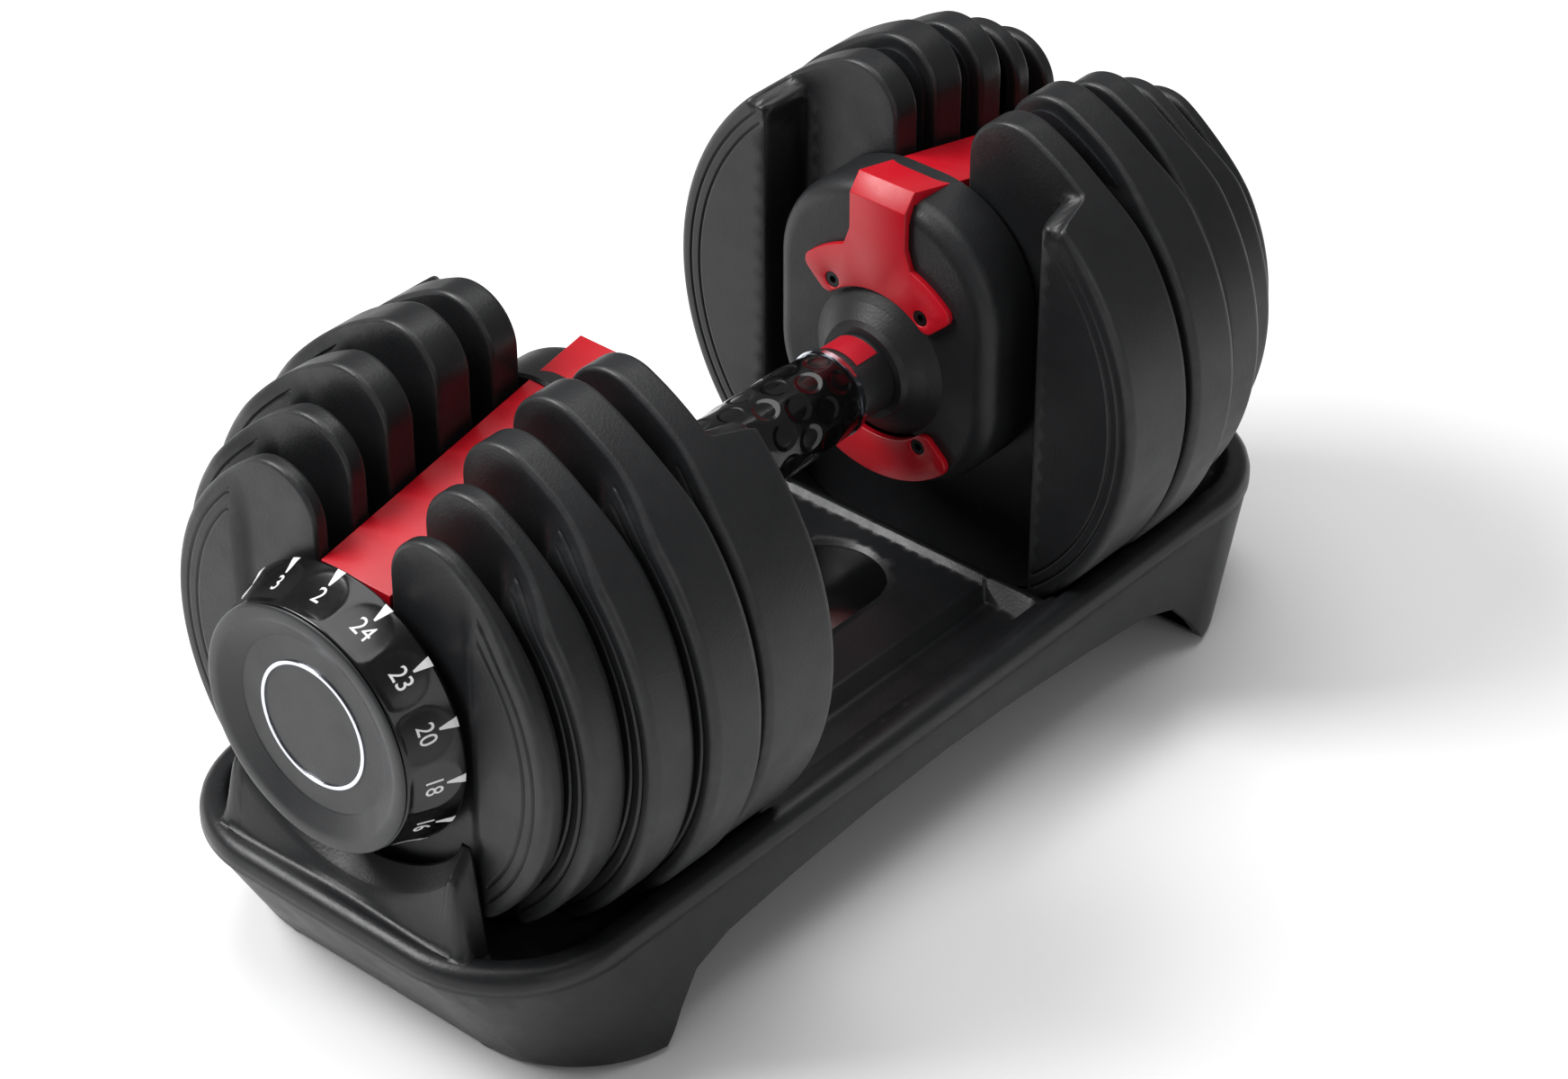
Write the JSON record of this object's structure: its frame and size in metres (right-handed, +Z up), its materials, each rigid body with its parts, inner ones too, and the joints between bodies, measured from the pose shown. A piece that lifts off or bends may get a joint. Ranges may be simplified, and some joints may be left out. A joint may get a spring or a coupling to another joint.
{
  "type": "adjustable dumbbell in its stand",
  "caption": "Selector-dial adjustable dumbbell with slotted round plates lying in a moulded cradle stand; the dials turn and the handle lifts plates out.",
  "frame": {"origin": "centre of the footprint on the floor", "axes": "+X along the handle, +Y to the back, +Z up"},
  "size_m": [0.417, 0.204, 0.217],
  "materials": {
    "tray_plastic": "satin",
    "base_plastic": "satin",
    "panel_gloss": "gloss",
    "foot_rubber": "matte",
    "screw_steel": "zinc",
    "tube_steel": "bright",
    "grip_gloss": "gloss",
    "chrome": "polished",
    "collar_plastic": "satin",
    "label_red": "satin",
    "cap_plastic": "satin",
    "strap_red": "satin",
    "screw_black": "black oxide",
    "dial_black": "gloss",
    "dial_graphite": "satin",
    "selector_plastic": "matte",
    "plate_skin": "fine grain",
    "plate_steel": "raw"
  },
  "bodies": {
    "stand": {"stand_tray": "tray_plastic", "stand_base": "base_plastic", "badge_panel": "panel_gloss", "stand_feet": "foot_rubber", "stand_screws": "screw_steel"},
    "handle": {"handle_tube": "tube_steel", "grip": "grip_gloss", "grip_rings": "chrome", "neck_collars": "collar_plastic", "neck_labels": "label_red", "axle_bolts": "screw_steel", "inner_cap_left": "cap_plastic", "inner_cap_right": "cap_plastic", "bridge_left": "strap_red", "bridge_right": "strap_red", "lower_yokes": "strap_red", "cap_screws": "screw_black"},
    "dial_left": {"dial_left": "dial_black", "dial_cover_left": "dial_graphite", "dial_trim_left": "chrome", "selector_sleeve_left": "selector_plastic", "selector_disc_left_1": "selector_plastic", "selector_disc_left_2": "selector_plastic", "selector_disc_left_3": "selector_plastic", "selector_disc_left_4": "selector_plastic"},
    "dial_right": {"dial_right": "dial_black", "dial_cover_right": "dial_graphite", "dial_trim_right": "chrome", "selector_sleeve_right": "selector_plastic", "selector_disc_right_1": "selector_plastic", "selector_disc_right_2": "selector_plastic", "selector_disc_right_3": "selector_plastic", "selector_disc_right_4": "selector_plastic"},
    "plate_left_e": {"plate_shell_left_e": "plate_skin", "plate_core_left_e": "plate_steel"},
    "plate_left_d": {"plate_shell_left_d": "plate_skin", "plate_core_left_d": "plate_steel"},
    "plate_left_c": {"plate_shell_left_c": "plate_skin", "plate_core_left_c": "plate_steel"},
    "plate_left_b": {"plate_shell_left_b": "plate_skin", "plate_core_left_b": "plate_steel"},
    "plate_left_a": {"plate_shell_left_a": "plate_skin", "plate_core_left_a": "plate_steel"},
    "plate_right_e": {"plate_shell_right_e": "plate_skin", "plate_core_right_e": "plate_steel"},
    "plate_right_d": {"plate_shell_right_d": "plate_skin", "plate_core_right_d": "plate_steel"},
    "plate_right_c": {"plate_shell_right_c": "plate_skin", "plate_core_right_c": "plate_steel"},
    "plate_right_b": {"plate_shell_right_b": "plate_skin", "plate_core_right_b": "plate_steel"},
    "plate_right_a": {"plate_shell_right_a": "plate_skin", "plate_core_right_a": "plate_steel"}
  },
  "joints": [
    {"name": "handle_lift", "type": "slide", "parent": "stand", "child": "handle", "axis": [0, 0, 1], "range_m": [0, 0.2]},
    {"name": "dial_turn_left", "type": "hinge", "parent": "handle", "child": "dial_left", "pos_m": [-0.2, 0, 0.122], "axis": [1, 0, 0], "continuous": true},
    {"name": "dial_turn_right", "type": "hinge", "parent": "handle", "child": "dial_right", "pos_m": [0.2, 0, 0.122], "axis": [1, 0, 0], "continuous": true},
    {"name": "plate_lift_left_e", "type": "slide", "parent": "stand", "child": "plate_left_e", "axis": [0, 0, 1], "range_m": [0, 0.2]},
    {"name": "plate_lift_left_d", "type": "slide", "parent": "stand", "child": "plate_left_d", "axis": [0, 0, 1], "range_m": [0, 0.2]},
    {"name": "plate_lift_left_c", "type": "slide", "parent": "stand", "child": "plate_left_c", "axis": [0, 0, 1], "range_m": [0, 0.2]},
    {"name": "plate_lift_left_b", "type": "slide", "parent": "stand", "child": "plate_left_b", "axis": [0, 0, 1], "range_m": [0, 0.2]},
    {"name": "plate_lift_left_a", "type": "slide", "parent": "stand", "child": "plate_left_a", "axis": [0, 0, 1], "range_m": [0, 0.2]},
    {"name": "plate_lift_right_e", "type": "slide", "parent": "stand", "child": "plate_right_e", "axis": [0, 0, 1], "range_m": [0, 0.2]},
    {"name": "plate_lift_right_d", "type": "slide", "parent": "stand", "child": "plate_right_d", "axis": [0, 0, 1], "range_m": [0, 0.2]},
    {"name": "plate_lift_right_c", "type": "slide", "parent": "stand", "child": "plate_right_c", "axis": [0, 0, 1], "range_m": [0, 0.2]},
    {"name": "plate_lift_right_b", "type": "slide", "parent": "stand", "child": "plate_right_b", "axis": [0, 0, 1], "range_m": [0, 0.2]},
    {"name": "plate_lift_right_a", "type": "slide", "parent": "stand", "child": "plate_right_a", "axis": [0, 0, 1], "range_m": [0, 0.2]}
  ],
  "couplings": [
    {"joint": "plate_lift_left_e", "follows": "handle_lift", "ratio": 1},
    {"joint": "plate_lift_left_d", "follows": "handle_lift", "ratio": 1},
    {"joint": "plate_lift_left_c", "follows": "handle_lift", "ratio": 1},
    {"joint": "plate_lift_left_b", "follows": "handle_lift", "ratio": 1},
    {"joint": "plate_lift_left_a", "follows": "handle_lift", "ratio": 1},
    {"joint": "plate_lift_right_e", "follows": "handle_lift", "ratio": 1},
    {"joint": "plate_lift_right_d", "follows": "handle_lift", "ratio": 1},
    {"joint": "plate_lift_right_c", "follows": "handle_lift", "ratio": 1},
    {"joint": "plate_lift_right_b", "follows": "handle_lift", "ratio": 1},
    {"joint": "plate_lift_right_a", "follows": "handle_lift", "ratio": 1}
  ]
}
